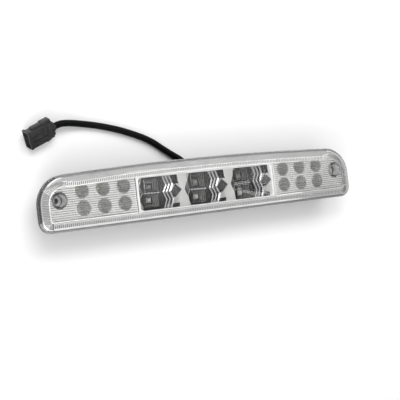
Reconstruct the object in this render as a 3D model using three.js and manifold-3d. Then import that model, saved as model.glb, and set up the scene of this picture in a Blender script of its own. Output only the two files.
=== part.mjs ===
// Third brake light with two cargo lamps: a long clear lens on a black housing, with a chrome
// faceted brake reflector in the middle, a white six-bowl reflector at each end, and a cable that
// ends in a sealed connector. Millimetres. X runs along the lamp, Y towards its arched edge and Z
// out of the lens. The origin is under the middle of the lamp, on the face that it lies on.

import * as THREE from 'three';
import { mergeVertices } from 'three/addons/utils/BufferGeometryUtils.js';
import Module from 'manifold-3d';

const wasm = await Module();
wasm.setup();

// Driving dimensions
const length = 440;                 // lens flange, end to end
const height = 69.5;                // lens flange, straight edge to the top of the arch
const archRadius = 3890;            // arched edge
const topCornerRadius = 34;
const bottomCornerRadius = 14;
const gap = 0.3;                    // clearance between pieces that seat on each other

// Heights above the face that the lamp lies on
const boxFloor = 2.2;               // thickness of the centre box's floor
const trayBottom = 20;
const trayDepth = 15;               // tray bottom to the underside of the flange
const flangeThickness = 3;
const lensRimThickness = 2.5;
const lensCrown = 5.2;              // lens face above its rim

// Housing
const trayInset = 7;                // tray wall behind the flange edge
const housingWall = 2.2;
const boxEndRoom = 8.4;             // from the window's end to the outside of the box's floor
const boxDraft = { x: 4, bottom: 3.5, top: 2 };
const boxCornerRadius = 6;

// Lens
const lensWall = 2.4;
const borderStart = 1.4;            // inset of the foot of the sloped border
const borderWidth = 8.4;
const faceRound = 1;
const faceRoundDrop = 0.6;
const lensLand = 3;                 // width of the rim that is welded to the housing

// Fixing screw wells
const wellEndDistance = 24.7;       // from the lens end
const wellY = 1.2;
const wellRadius = 7;
const wellWall = 2.3;
const wellFloor = 2.6;
const wellDepth = 13;
const fixingHoleRadius = 3.3;
const wellBossRadius = 7.4;

// Gasket
const gasketThickness = 4;
const gasketInset = 1.5;

// Brake lamp
const brakePitch = 66;
const brakeRowPitch = 19.1;
const windowEnd = 29.6;             // from the outer lamps to the window's end
const windowHeight = 41;
const windowMiddleY = -2.4;
const windowToRow = 12;
const reflectorSkin = 1.5;
const plateThickness = 1.5;
const plateMargin = 2.2;
const cupTop = { x: 19.4, y: 17.4 };
const cupHole = 6.6;
const boardToReflector = 0.4;
const cupBlockHalfX = 12.5;
const cupHeight = 8.5;
const stepEdges = [12.5, 17, 21.5, 26];
const zigzag = 3;                   // how far a step swings out beside each lamp row
const brakeBoard = { end: 18, below: 9.1, above: 3.3, z: 7, thickness: 1.6 };

// Cargo lamps
const cargoRowPitch = 20.1;
const cargoStart = 18.2;            // from the window's end to the first bowls
const wellToBowl = 10;
const cargoMiddleY = -0.3;
const bowlRadius = 8.2;
const bowlHoleRadius = 3.6;
const bowlWall = 1.4;
const plateJoint = 1;               // between the brake and the cargo reflector
const cargoPlateInset = 10.6;
const cargoBoard = { inner: 6.2, outer: 8.8, halfWidth: 17.2, lift: 1.8, thickness: 1.6 };
const legRadius = 1.6;
const legY = 20.2;
const upperLegOffset = 5.2;         // from the first bowls towards the window
const boardToBowl = 1.6;

// Lamps, screws and small parts
const brakeLamp = { side: 5, body: 1.4, domeRadius: 2.1, dome: 1.8 };
const cargoLamp = { side: 4.4, body: 1.2, domeRadius: 1.7, dome: 1.3 };
const resistor = { x: 3.2, y: 1.6, z: 0.6 };
const boardScrewTip = 1.6;
const screw = { headRadius: 2.6, head: 1.7, shankRadius: 1.2, holeRadius: 1.5, bossRadius: 3.2 };
const vent = { x: -130, y: -8, radius: 6, height: 5, stemRadius: 2.4, holeRadius: 2.8 };

// Cable and its way out of the centre box
const cableDiameter = 8;
const cableExit = { x: -2, z: 6, heading: 125 };
const outletRadius = 5.8;
const outletLength = 4.6;
const neckRadius = 2.7;
const neckInside = 3.2;
const grommetFlange = 1.6;
const grommetLength = 10.5;         // from the wall to the tip
const leadRadius = 0.9;
const leadPitch = 1.9;              // between the leads where they leave the grommet

// Connector: u runs from its mouth to its cable, v across and w up through its body
const connector = {
  mouth: [-212.3, 73.2, 10.5], heading: 22, roll: 26.5, length: 29, v: 23.4, w: 13, corner: 2,
};
const mouthCavity = { v: 19, w: 8.8, depth: 19.5, corner: 1.2 };
const terminal = { length: 10.5, v: 2.3, w: 0.8, pitch: 5.6 };
const lock = { length: 3.5, v: 16.4, w: 2.2, offset: -3 };
const boot = { length: 8.7, startRadius: 5.9, endRadius: 4.8 };

// Places along the lamp that follow
const wellX = length / 2 - wellEndDistance;
const windowHalfLength = brakePitch + windowEnd;
const boxHalfLength = windowHalfLength + boxEndRoom;
const cargoInnerX = windowHalfLength + plateMargin + plateJoint - 0.2;
const cargoFirstX = windowHalfLength + cargoStart;
const cargoLastX = wellX - wellRadius - wellWall - wellToBowl - bowlWall - bowlRadius;
const cargoPitch = (cargoLastX - cargoFirstX) / 2;

// Places across the lamp that follow
const reflectorBottomY = windowMiddleY - windowHeight / 2;
const reflectorTopY = reflectorBottomY + windowHeight;
const brakeRows = [reflectorBottomY + windowToRow, reflectorBottomY + windowToRow + brakeRowPitch];
const boxBottomY = reflectorBottomY - reflectorSkin;
const boxTopY = reflectorTopY + reflectorSkin + 1;
cableExit.y = boxTopY + boxDraft.top * 0.3;

// Heights that follow
const flangeBottom = trayBottom + trayDepth;
const flangeTop = flangeBottom + flangeThickness;
const rimBottom = flangeTop + gap;
const rimTop = rimBottom + lensRimThickness;
const faceTop = rimTop + lensCrown;
const plateTop = faceTop - lensWall - 1.5;
const plateBottom = plateTop - plateThickness;
const wellSeat = faceTop - wellDepth;
const cargoBoardBottom = trayBottom + housingWall + cargoBoard.lift;
const cargoBoardTop = cargoBoardBottom + cargoBoard.thickness;
const bowlBottom = cargoBoardTop + boardToBowl;
const bowlDepth = plateTop - bowlBottom;
const brakeBoardTop = brakeBoard.z + brakeBoard.thickness;
const reflectorFloor = brakeBoardTop + boardToReflector;
const stepRise = (plateTop - 0.6 - reflectorFloor - cupHeight) / stepEdges.length;

const materials = {
  clear: new THREE.MeshStandardMaterial({ color: 0xe6eaec, roughness: 0.08, metalness: 0 }),
  black: new THREE.MeshStandardMaterial({ color: 0x17181a, roughness: 0.5, metalness: 0 }),
  foam: new THREE.MeshStandardMaterial({ color: 0x222222, roughness: 0.95, metalness: 0 }),
  chrome: new THREE.MeshStandardMaterial({ color: 0x8d9094, roughness: 0.12, metalness: 1 }),
  white: new THREE.MeshStandardMaterial({ color: 0xd9dbdd, roughness: 0.3, metalness: 0.4 }),
  board: new THREE.MeshStandardMaterial({ color: 0xe3e4e0, roughness: 0.5, metalness: 0 }),
  redLamp: new THREE.MeshStandardMaterial({ color: 0xdad2c8, roughness: 0.2, metalness: 0 }),
  whiteLamp: new THREE.MeshStandardMaterial({ color: 0xe8dc8c, roughness: 0.3, metalness: 0 }),
  steel: new THREE.MeshStandardMaterial({ color: 0xa9adb1, roughness: 0.35, metalness: 1 }),
  rubber: new THREE.MeshStandardMaterial({ color: 0x1b1b1c, roughness: 0.8, metalness: 0 }),
  grey: new THREE.MeshStandardMaterial({ color: 0x46484a, roughness: 0.55, metalness: 0 }),
  brass: new THREE.MeshStandardMaterial({ color: 0xb8964a, roughness: 0.3, metalness: 1 }),
};

const lamp = new THREE.Group();

function addMesh(name, geometry, material, parent = lamp) {
  const mesh = new THREE.Mesh(geometry, material);
  mesh.name = name;
  parent.add(mesh);
  return mesh;
}

// Solids

function toSolid(geometry) {
  const bare = geometry.clone();
  bare.deleteAttribute('normal');
  bare.deleteAttribute('uv');
  const merged = mergeVertices(bare, 1e-4);
  return new wasm.Manifold(new wasm.Mesh({
    numProp: 3,
    vertProperties: new Float32Array(merged.attributes.position.array),
    triVerts: new Uint32Array(merged.index.array),
  }));
}

function toGeometry(solid) {
  const mesh = solid.getMesh();
  const geometry = new THREE.BufferGeometry();
  geometry.setAttribute('position', new THREE.BufferAttribute(mesh.vertProperties, 3));
  geometry.setIndex(new THREE.BufferAttribute(mesh.triVerts, 1));
  geometry.computeVertexNormals();
  return geometry;
}

function join(solids) {
  return solids.reduce((whole, next) => whole.add(next));
}

function cut(solid, tools) {
  return tools.reduce((whole, tool) => whole.subtract(tool), solid);
}

// A closed solid through sections that have the same number of points, from the lowest up
function loft(sections) {
  const count = sections[0].points.length;
  const positions = sections.flatMap(({ points, z }) => points.flatMap((p) => [p.x, p.y, z]));
  const faces = [];
  for (let level = 0; level < sections.length - 1; level += 1) {
    const below = level * count;
    const above = below + count;
    for (let i = 0; i < count; i += 1) {
      const next = (i + 1) % count;
      faces.push(below + i, below + next, above + next, below + i, above + next, above + i);
    }
  }
  const top = (sections.length - 1) * count;
  for (const [a, b, c] of THREE.ShapeUtils.triangulateShape(sections[0].points, [])) {
    faces.push(a, c, b);
  }
  for (const [a, b, c] of THREE.ShapeUtils.triangulateShape(sections.at(-1).points, [])) {
    faces.push(top + a, top + b, top + c);
  }
  const geometry = new THREE.BufferGeometry();
  geometry.setAttribute('position', new THREE.Float32BufferAttribute(positions, 3));
  geometry.setIndex(faces);
  return toSolid(geometry);
}

function prism(points, bottom, top) {
  return loft([{ points, z: bottom }, { points, z: top }]);
}

function shapePoints(shape, divisions) {
  const points = shape.getPoints(divisions);
  return points.filter((p, i) => p.distanceTo(points[(i + 1) % points.length]) > 1e-3);
}

function rectangle(left, right, bottom, top, radius) {
  const shape = new THREE.Shape();
  shape.absarc(right - radius, bottom + radius, radius, -Math.PI / 2, 0);
  shape.absarc(right - radius, top - radius, radius, 0, Math.PI / 2);
  shape.absarc(left + radius, top - radius, radius, Math.PI / 2, Math.PI);
  shape.absarc(left + radius, bottom + radius, radius, Math.PI, 1.5 * Math.PI);
  return shapePoints(shape, 3);
}

function block(left, right, bottom, top, low, high) {
  const geometry = new THREE.BoxGeometry(right - left, top - bottom, high - low);
  geometry.translate((left + right) / 2, (bottom + top) / 2, (low + high) / 2);
  return toSolid(geometry);
}

function cone(x, y, low, high, lowRadius, highRadius, segments = 20) {
  const geometry = new THREE.CylinderGeometry(highRadius, lowRadius, high - low, segments);
  geometry.rotateX(Math.PI / 2);
  geometry.translate(x, y, (low + high) / 2);
  return toSolid(geometry);
}

function pin(x, y, low, high, radius, segments = 20) {
  return cone(x, y, low, high, radius, radius, segments);
}

function tube(points, radius, sides, steps) {
  const circle = new THREE.Shape();
  for (let i = 0; i < sides; i += 1) {
    const angle = (2 * Math.PI * i) / sides;
    const corner = [radius * Math.cos(angle), radius * Math.sin(angle)];
    if (i === 0) circle.moveTo(...corner);
    else circle.lineTo(...corner);
  }
  const places = points.map((p) => new THREE.Vector3(...p));
  const path = new THREE.CatmullRomCurve3(places, false, 'centripetal');
  return new THREE.ExtrudeGeometry(circle, { steps, extrudePath: path, bevelEnabled: false });
}

// The lamp's outline, moved in from the flange edge: a straight bottom edge, an arched top edge,
// small bottom corners and large top corners
function outline(inset) {
  const halfLength = length / 2 - inset;
  const bottom = -height / 2 + inset;
  const arch = archRadius - inset;
  const topRadius = topCornerRadius - inset;
  const bottomRadius = Math.max(bottomCornerRadius - inset, 2);
  const archY = height / 2 - archRadius;
  const cornerX = halfLength - topRadius;
  const cornerY = archY + Math.sqrt((arch - topRadius) ** 2 - cornerX ** 2);
  const turn = Math.atan2(cornerY - archY, cornerX);
  const shape = new THREE.Shape();
  shape.absarc(halfLength - bottomRadius, bottom + bottomRadius, bottomRadius, -Math.PI / 2, 0);
  shape.absarc(cornerX, cornerY, topRadius, 0, turn);
  shape.absarc(0, archY, arch, turn, Math.PI - turn);
  shape.absarc(-cornerX, cornerY, topRadius, Math.PI - turn, Math.PI);
  shape.absarc(bottomRadius - halfLength, bottom + bottomRadius, bottomRadius, Math.PI, 1.5 * Math.PI);
  return shapePoints(shape, 5);
}

const sides = [{ name: 'left', sign: -1 }, { name: 'right', sign: 1 }];

function mirrored(sign, near, far) {
  return sign > 0 ? [near, far] : [-far, -near];
}

// Lens

function makeLens() {
  const outside = loft([
    { points: outline(0), z: rimBottom },
    { points: outline(0), z: rimTop - 0.4 },
    { points: outline(0.4), z: rimTop },
    { points: outline(borderStart), z: rimTop + 0.3 },
    { points: outline(borderStart + borderWidth), z: faceTop - faceRoundDrop },
    { points: outline(borderStart + borderWidth + faceRound), z: faceTop },
  ]);
  const inside = loft([
    { points: outline(lensLand), z: rimBottom - 1 },
    { points: outline(lensLand), z: rimTop - 1.2 },
    { points: outline(borderStart + borderWidth + 0.8), z: faceTop - faceRoundDrop - lensWall },
    { points: outline(borderStart + borderWidth + faceRound + 0.8), z: faceTop - lensWall },
  ]);
  const tubes = sides.map(({ sign }) => (
    pin(sign * wellX, wellY, wellSeat - wellFloor, faceTop - 0.5, wellRadius + wellWall, 28)
  ));
  const bores = sides.flatMap(({ sign }) => [
    pin(sign * wellX, wellY, wellSeat, faceTop + 1, wellRadius, 28),
    pin(sign * wellX, wellY, wellSeat - wellFloor - 1, wellSeat + 1, fixingHoleRadius),
  ]);
  return cut(join([outside.subtract(inside), ...tubes]), bores);
}

// Housing

function exitPoint(distance) {
  const heading = THREE.MathUtils.degToRad(cableExit.heading);
  return [
    cableExit.x + distance * Math.cos(heading),
    cableExit.y + distance * Math.sin(heading),
    cableExit.z,
  ];
}

// A geometry that was turned about the Y axis, laid along the cable's way out
function alongExit(geometry) {
  geometry.rotateZ(THREE.MathUtils.degToRad(cableExit.heading - 90));
  geometry.translate(cableExit.x, cableExit.y, cableExit.z);
  return geometry;
}

function exitCylinder(start, end, radius) {
  const geometry = new THREE.CylinderGeometry(radius, radius, end - start, 20);
  geometry.translate(0, (start + end) / 2, 0);
  return toSolid(alongExit(geometry));
}

function boxSection(z, shrink) {
  const share = z / trayBottom;
  const halfLength = boxHalfLength + boxDraft.x * share - shrink;
  const bottom = boxBottomY - boxDraft.bottom * share + shrink;
  const top = boxTopY + boxDraft.top * share - shrink;
  return { points: rectangle(-halfLength, halfLength, bottom, top, boxCornerRadius - shrink), z };
}

function makeHousing() {
  const trayTop = trayBottom + housingWall;
  const boardBosses = [-1, 1].map((sign) => (
    pin(sign * brakePitch / 2, brakeScrewY, boxFloor / 2, brakeBoard.z - gap, screw.bossRadius)
  ));
  const cargoBosses = sides.flatMap(({ sign }) => [
    pin(sign * cargoScrewX, cargoMiddleY, trayTop - 1, cargoBoardBottom - gap, screw.bossRadius),
    pin(sign * wellX, wellY, trayBottom + 1, wellSeat - wellFloor - gap, wellBossRadius, 24),
  ]);
  const shell = join([
    prism(outline(0), flangeBottom, flangeTop),
    prism(outline(trayInset), trayBottom, flangeBottom + 1),
    loft([boxSection(0, 0), boxSection(trayBottom + 1, 0)]),
  ]);
  const outlet = exitCylinder(-1, outletLength, outletRadius);
  const hollow = join([
    prism(outline(trayInset + housingWall), trayTop, flangeTop + 1),
    loft([boxSection(boxFloor, housingWall), boxSection(trayTop + 1, housingWall)]),
  ]);
  const holes = [
    exitCylinder(-6, outletLength + 1, neckRadius + gap),
    pin(vent.x, vent.y, trayBottom - 1, trayTop + 1, vent.holeRadius),
    ...[-1, 1].map((sign) => (
      pin(sign * brakePitch / 2, brakeScrewY, 1.2, brakeBoard.z, screw.holeRadius, 12)
    )),
    ...sides.flatMap(({ sign }) => [
      pin(sign * cargoScrewX, cargoMiddleY, trayBottom + 1, cargoBoardBottom, screw.holeRadius, 12),
      pin(sign * wellX, wellY, trayBottom - 1, wellSeat, fixingHoleRadius),
    ]),
  ];
  const body = join([shell.add(outlet).subtract(hollow), ...boardBosses, ...cargoBosses]);
  return cut(body, holes);
}

function makeGasket() {
  const top = flangeBottom - gap;
  const ring = prism(outline(gasketInset), top - gasketThickness, top);
  return ring.subtract(prism(outline(trayInset - gap), top - gasketThickness - 1, top + 1));
}

// Brake lamp

const brakeMiddleY = (brakeRows[0] + brakeRows[1]) / 2;
const brakeScrewY = brakeMiddleY;
const brakeBoardEdge = brakeRows[1] + brakeBoard.above;

// The plan of everything that stands higher than a step, between one pair of lamps and the next.
// Its flanks swing away from the lamps beside each row, which leaves a diamond in the middle.
function ridgePlan(left, right, shrink) {
  const levels = [
    [reflectorBottomY, 0], [brakeRows[0], 1], [brakeMiddleY, 0], [brakeRows[1], 1], [reflectorTopY, 0],
  ];
  const height = (y) => THREE.MathUtils.clamp(y, reflectorBottomY + shrink, reflectorTopY - shrink);
  const flank = (edge, inward) => levels.map(([y, swing]) => (
    new THREE.Vector2(edge + inward * (shrink + swing * zigzag), height(y))
  ));
  return [...flank(right, -1), ...flank(left, 1).reverse()];
}

// The stepped ridge on the outer side of the lamps at middleX, from its step edges outwards. It ends
// at the window's end or at the next pair of lamps.
function steppedFlank(middleX, sign, shrink, drop) {
  const isEnd = Math.abs(middleX + sign * brakePitch) > brakePitch;
  const reach = isEnd ? windowHalfLength - brakePitch : brakePitch;
  const narrowest = 2 * zigzag + 2 * shrink + 0.8;
  const plans = stepEdges.map((edge) => {
    const [left, right] = mirrored(sign, edge, isEnd ? reach : reach - edge);
    const plan = ridgePlan(middleX + left, middleX + right, shrink);
    if (isEnd) {
      const far = sign > 0 ? plan.slice(0, 5) : plan.slice(5);
      far.forEach((point) => point.setX(middleX + sign * (reach - shrink)));
    }
    return right - left > narrowest ? plan : null;
  });
  return plans.flatMap((plan, i) => (plan ? [prism(
    plan, reflectorFloor - (drop > 0 ? 1 : 0), reflectorFloor + cupHeight + (i + 1) * stepRise - drop,
  )] : []));
}

function makeBrakeReflector() {
  const pairs = [-brakePitch, 0, brakePitch];
  const flanks = (shrink, drop) => join([
    ...steppedFlank(-brakePitch, -1, shrink, drop),
    ...steppedFlank(-brakePitch, 1, shrink, drop),
    ...steppedFlank(brakePitch, -1, shrink, drop),
    ...steppedFlank(brakePitch, 1, shrink, drop),
  ]);
  const cupBlocks = pairs.map((x) => block(
    x - cupBlockHalfX - zigzag - 1, x + cupBlockHalfX + zigzag + 1, reflectorBottomY, reflectorTopY,
    reflectorFloor, reflectorFloor + cupHeight,
  ));
  const cups = pairs.flatMap((x) => brakeRows.map((y) => {
    const hole = rectangle(x - cupHole / 2, x + cupHole / 2, y - cupHole / 2, y + cupHole / 2, 0.6);
    const mouth = rectangle(
      x - cupTop.x / 2, x + cupTop.x / 2, y - cupTop.y / 2, y + cupTop.y / 2, 1.2,
    );
    return loft([
      { points: hole, z: reflectorFloor - 1 },
      { points: hole, z: reflectorFloor + 0.5 },
      { points: mouth, z: reflectorFloor + cupHeight + 0.01 },
    ]);
  }));
  const frame = block(
    -windowHalfLength - plateMargin + 0.2, windowHalfLength + plateMargin - 0.2,
    reflectorBottomY - plateMargin, reflectorTopY + plateMargin, plateBottom, plateTop,
  );
  const walls = block(
    -windowHalfLength - reflectorSkin, windowHalfLength + reflectorSkin,
    reflectorBottomY - reflectorSkin, reflectorTopY + reflectorSkin,
    reflectorFloor + cupHeight - reflectorSkin, plateTop - 0.1,
  );
  const opening = block(
    -windowHalfLength, windowHalfLength, reflectorBottomY, reflectorTopY,
    reflectorFloor + cupHeight, plateTop + 1,
  );
  const bowl = walls.add(frame).subtract(opening);
  const relief = pairs.slice(0, 2).map((x) => block(
    x + cupBlockHalfX + zigzag + 2.5, x + brakePitch - cupBlockHalfX - zigzag - 2.5,
    reflectorBottomY + reflectorSkin, reflectorTopY - reflectorSkin, 0, reflectorFloor + 9,
  ));
  const body = join([bowl, ...cupBlocks, flanks(0, 0)]);
  return cut(body, [flanks(reflectorSkin, reflectorSkin), ...relief, ...cups]);
}

function makeBoard(left, right, bottom, top, low, thickness, holes) {
  const board = prism(rectangle(left, right, bottom, top, 2), low, low + thickness);
  const cuts = holes.map(([x, y]) => pin(x, y, low - 1, low + thickness + 1, screw.holeRadius, 12));
  return cut(board, cuts);
}

function makeLamp(size, x, y, low) {
  const half = size.side / 2;
  const body = block(x - half, x + half, y - half, y + half, low, low + size.body);
  const middle = low + size.body;
  const dome = join([
    pin(x, y, middle - 0.2, middle + size.dome / 2, size.domeRadius, 8),
    cone(x, y, middle + size.dome / 2 - 0.05, middle + size.dome, size.domeRadius, size.domeRadius / 2, 8),
  ]);
  return body.add(dome);
}

function makeResistor(x, y, low) {
  const { x: long, y: wide, z: tall } = resistor;
  return block(x - long / 2, x + long / 2, y - wide / 2, y + wide / 2, low, low + tall);
}

function makeScrew(x, y, seat, shankBottom) {
  const profile = [
    [0, shankBottom], [screw.shankRadius, shankBottom], [screw.shankRadius, seat],
    [screw.headRadius, seat], [screw.headRadius, seat + screw.head * 0.6],
    [screw.headRadius * 0.7, seat + screw.head], [0, seat + screw.head],
  ];
  const geometry = new THREE.LatheGeometry(profile.map((p) => new THREE.Vector2(...p)), 12);
  geometry.rotateX(Math.PI / 2);
  geometry.translate(x, y, 0);
  return toSolid(geometry);
}

// Cargo lamps

const cargoColumns = [0, 1, 2].map((i) => cargoFirstX + i * cargoPitch);
const cargoRows = [cargoMiddleY - cargoRowPitch / 2, cargoMiddleY + cargoRowPitch / 2];
const cargoScrewX = cargoColumns[1];
const legColumns = [0.5, 1.5].map((i) => cargoFirstX + i * cargoPitch);

function makeCargoReflector(sign) {
  const [left, right] = mirrored(sign, cargoInnerX, length / 2);
  const plate = prism(outline(cargoPlateInset), plateBottom, plateTop)
    .intersect(block(left, right, -height, height, plateBottom - 1, plateTop + 1));
  const places = cargoColumns.flatMap((x) => cargoRows.map((y) => [sign * x, y]));
  const shells = places.map(([x, y]) => (
    cone(x, y, bowlBottom, plateTop - 0.2, bowlHoleRadius + bowlWall, bowlRadius + bowlWall, 18)
  ));
  const slope = (bowlRadius - bowlHoleRadius) / bowlDepth;
  const hollows = places.map(([x, y]) => (
    cone(x, y, bowlBottom - 1, plateTop + 1, bowlHoleRadius - slope, bowlRadius + slope, 18)
  ));
  const legPlaces = [...legColumns.map((x) => [x, -legY]), [cargoFirstX - upperLegOffset, legY]];
  const legs = legPlaces.map(([x, y]) => (
    pin(sign * x, y, trayBottom + housingWall + gap, plateBottom + 0.5, legRadius, 12)
  ));
  const well = pin(sign * wellX, wellY, plateBottom - 1, plateTop + 1, wellRadius + wellWall + 0.5, 28);
  return cut(join([plate, ...shells, ...legs]), [...hollows, well]);
}

// Leads from the grommet to the boards

function leadRoute(sign, z) {
  const [startX, startY] = exitPoint(-neckInside - leadRadius);
  const channelX = windowHalfLength + reflectorSkin + 2.9;
  const channelY = reflectorTopY - 2.6;
  const channelZ = 4.4;
  return [
    [startX, startY, z], [startX + 0.9, startY - 1.1, z], [startX + 2 + 2 * sign, channelY + 0.1, z],
    [sign * 14, channelY, channelZ], [sign * 22, channelY, channelZ], [sign * 50, channelY, channelZ],
    [sign * (channelX - 8), channelY, channelZ], [sign * (channelX - 1.5), channelY, 6.6],
    [sign * channelX, channelY, 12], [sign * channelX, channelY, 19],
    [sign * (channelX + 2.2), channelY, cargoBoardBottom - 0.4],
    [sign * (cargoFirstX - cargoBoard.inner - gap), channelY, cargoBoardBottom + 0.8],
  ];
}

// Cable, grommet and connector

const cableRoute = [
  [-8.2, 30.1, 6], [-10.3, 32.9, 5.9], [-12.9, 35.5, 5.6], [-16.1, 38, 5], [-22.6, 42.3, 4.3],
  [-29.1, 46.7, 4.1], [-35.7, 51.2, 4.1], [-43.4, 56.7, 4.1], [-51.2, 61.6, 4.1], [-59, 65.6, 4.1],
  [-66.8, 69, 4.1], [-82.5, 74.9, 4.1], [-98, 79.7, 4.1], [-110, 82.8, 4.1], [-121, 85.2, 4.2],
  [-131, 87, 4.5], [-142, 88.6, 5.5], [-152, 89.7, 7.4], [-162, 90.2, 9.4], [-170, 89.6, 10.4],
  [-176.8, 87.55, 10.5],
];

function makeGrommet() {
  const profile = [
    [0, -neckInside], [neckRadius, -neckInside], [neckRadius, outletLength + gap],
    [outletRadius, outletLength + gap], [outletRadius, outletLength + gap + grommetFlange],
    [cableDiameter / 2 + 0.9, outletLength + gap + grommetFlange + 0.4],
    [cableDiameter / 2 + 0.5, grommetLength - gap], [0, grommetLength - gap],
  ];
  return alongExit(new THREE.LatheGeometry(profile.map((p) => new THREE.Vector2(...p)), 20));
}

function makeConnectorHousing() {
  const { v, w } = connector;
  const section = (wide, tall, radius) => rectangle(-wide / 2, wide / 2, -tall / 2, tall / 2, radius);
  const parts = [
    prism(section(v - 1.4, w - 1.4, connector.corner), 1.5, connector.length - gap),
    prism(section(v, w, connector.corner), 0, 4),
    prism(section(v, w, connector.corner), connector.length - 7, connector.length - 3),
    block(v / 2 - 1.2, v / 2 + 0.9, -2, 2, 7, connector.length - 2),
  ];
  const grooves = [-4.6, 4.6].map((x) => (
    block(x - 1.1, x + 1.1, w / 2 - 1.5, w, 5.5, connector.length - 8.5)
  ));
  const cavity = prism(section(mouthCavity.v, mouthCavity.w, mouthCavity.corner), -1, mouthCavity.depth);
  return cut(join(parts), [...grooves, cavity]);
}

function makeBoot() {
  const profile = [
    [0, 0], [boot.startRadius, 0], [boot.startRadius, 2], [boot.startRadius - 0.7, 2.6],
    [boot.startRadius - 0.7, 3.8], [boot.startRadius - 0.2, 4.4], [boot.startRadius - 0.2, 5.6],
    [boot.endRadius, 6.4], [boot.endRadius, boot.length], [0, boot.length],
  ];
  const geometry = new THREE.LatheGeometry(profile.map((p) => new THREE.Vector2(...p)), 20);
  geometry.rotateX(Math.PI / 2);
  geometry.translate(0, 0, connector.length);
  return geometry;
}

// Assembly

addMesh('lens_cover', toGeometry(makeLens()), materials.clear);
addMesh('housing_shell', toGeometry(makeHousing()), materials.black);
addMesh('rear_gasket', toGeometry(makeGasket()), materials.foam);
addMesh('brake_reflector', toGeometry(makeBrakeReflector()), materials.chrome);

const brakeScrews = [-1, 1].map((sign) => [sign * brakePitch / 2, brakeScrewY]);
addMesh('brake_led_board', toGeometry(makeBoard(
  -brakePitch - brakeBoard.end, brakePitch + brakeBoard.end, brakeRows[0] - brakeBoard.below,
  brakeBoardEdge, brakeBoard.z, brakeBoard.thickness, brakeScrews,
)), materials.board);
[-brakePitch, 0, brakePitch].flatMap((x) => brakeRows.map((y) => [x, y])).forEach(([x, y], i) => {
  const solid = makeLamp(brakeLamp, x, y, brakeBoardTop + gap);
  addMesh(`brake_led_${i + 1}`, toGeometry(solid), materials.redLamp);
});
brakeScrews.forEach(([x, y], i) => {
  const solid = makeScrew(x, y, brakeBoardTop + gap, boardScrewTip);
  addMesh(`brake_board_screw_${sides[i].name}`, toGeometry(solid), materials.steel);
});
const resistorPlaces = [[-1, 7.3], [1, 7.3], [1, -7.7]];
resistorPlaces.map(([side, y]) => [side * brakePitch / 2, brakeMiddleY + y]).forEach(([x, y], i) => {
  const low = brakeBoardTop + gap;
  addMesh(`brake_resistor_${i + 1}`, toGeometry(makeResistor(x, y, low)), materials.rubber);
});

for (const { name, sign } of sides) {
  const [left, right] = mirrored(sign, cargoFirstX - cargoBoard.inner, cargoLastX + cargoBoard.outer);
  addMesh(`cargo_reflector_${name}`, toGeometry(makeCargoReflector(sign)), materials.white);
  addMesh(`cargo_led_board_${name}`, toGeometry(makeBoard(
    left, right, cargoMiddleY - cargoBoard.halfWidth, cargoMiddleY + cargoBoard.halfWidth,
    cargoBoardBottom, cargoBoard.thickness, [[sign * cargoScrewX, cargoMiddleY]],
  )), materials.board);
  cargoColumns.flatMap((x) => cargoRows.map((y) => [sign * x, y])).forEach(([x, y], i) => {
    const solid = makeLamp(cargoLamp, x, y, cargoBoardTop + gap);
    addMesh(`cargo_led_${name}_${i + 1}`, toGeometry(solid), materials.whiteLamp);
  });
  const screwSolid = makeScrew(sign * cargoScrewX, cargoMiddleY, cargoBoardTop + gap, trayBottom + 1.3);
  addMesh(`cargo_board_screw_${name}`, toGeometry(screwSolid), materials.steel);
  const resistorSolid = makeResistor(sign * legColumns[0], cargoMiddleY, cargoBoardTop + gap);
  addMesh(`cargo_resistor_${name}`, toGeometry(resistorSolid), materials.rubber);
  const lead = tube(leadRoute(sign, cableExit.z - (sign > 0 ? 0 : leadPitch)), leadRadius, 6, 26);
  addMesh(`lead_wire_cargo_${name}`, lead, materials.rubber);
}

const [leadX, leadY] = exitPoint(-neckInside - leadRadius);
addMesh('lead_wire_brake', tube([
  [leadX, leadY, cableExit.z + leadPitch], [leadX + 1.6, leadY - 2.3, cableExit.z + leadPitch],
  [leadX + 2, brakeBoardEdge + gap, brakeBoard.z + brakeBoard.thickness / 2],
], leadRadius, 6, 4), materials.rubber);

const ventProfile = [
  [0, 0], [vent.radius - 1, 0], [vent.radius, 1], [vent.radius, vent.height],
  [vent.stemRadius, vent.height], [vent.stemRadius, vent.height + 2], [0, vent.height + 2],
];
const ventGeometry = new THREE.LatheGeometry(ventProfile.map((p) => new THREE.Vector2(...p)), 20);
ventGeometry.rotateX(Math.PI / 2);
addMesh('vent_cap', ventGeometry, materials.rubber)
  .position.set(vent.x, vent.y, trayBottom - gap - vent.height);

addMesh('cable_grommet', makeGrommet(), materials.rubber);
addMesh('cable', tube(cableRoute, cableDiameter / 2, 10, 30), materials.rubber);

// The connector's own Z axis is u, so it is turned to lie along its heading, rolled onto one edge
const connectorGroup = new THREE.Group();
connectorGroup.position.set(...connector.mouth);
const acrossAxis = new THREE.Vector3(0, 1, 0);
const upAxis = new THREE.Vector3(0, 0, 1);
const alongAxis = new THREE.Vector3(1, 0, 0);
connectorGroup.quaternion
  .setFromAxisAngle(upAxis, THREE.MathUtils.degToRad(connector.heading))
  .multiply(new THREE.Quaternion().setFromAxisAngle(alongAxis, THREE.MathUtils.degToRad(connector.roll)))
  .multiply(new THREE.Quaternion().setFromRotationMatrix(
    new THREE.Matrix4().makeBasis(acrossAxis, upAxis, alongAxis),
  ));
lamp.add(connectorGroup);

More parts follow.
